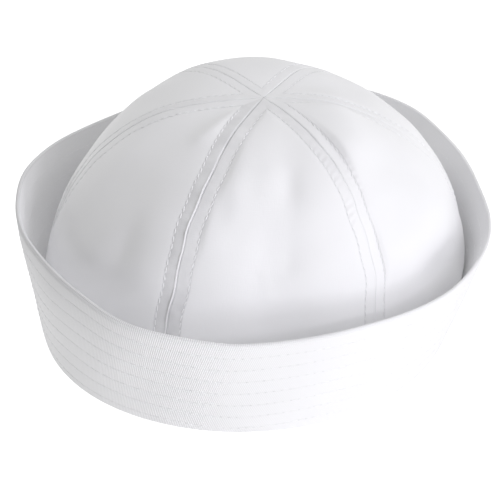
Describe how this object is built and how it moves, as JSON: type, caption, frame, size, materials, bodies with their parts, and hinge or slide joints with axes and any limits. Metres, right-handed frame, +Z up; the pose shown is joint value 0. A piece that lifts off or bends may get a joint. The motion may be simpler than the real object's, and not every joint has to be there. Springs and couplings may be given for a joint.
{
  "type": "sailor cap",
  "caption": "Round cloth crown of sewn gores in a tall turned-up stitched brim, worn on the head.",
  "frame": {"origin": "middle of the bounding rectangle of the cap, on the surface that its brim fold rests on", "axes": "+Z up through the top of the crown; -Y is the front of the cap; +X is the wearer's left"},
  "size_m": [0.2106, 0.227, 0.1188],
  "materials": {
    "brim_twill": "white cotton twill, several layers, stitched in rows round the brim",
    "crown_cotton": "smooth white cotton with a faint sheen, flat topstitched seams"
  },
  "bodies": {
    "root": {"brim": "brim_twill", "crown_gore_1": "crown_cotton", "crown_gore_2": "crown_cotton", "crown_gore_3": "crown_cotton", "crown_gore_4": "crown_cotton", "crown_gore_5": "crown_cotton", "crown_gore_6": "crown_cotton"}
  },
  "joints": []
}
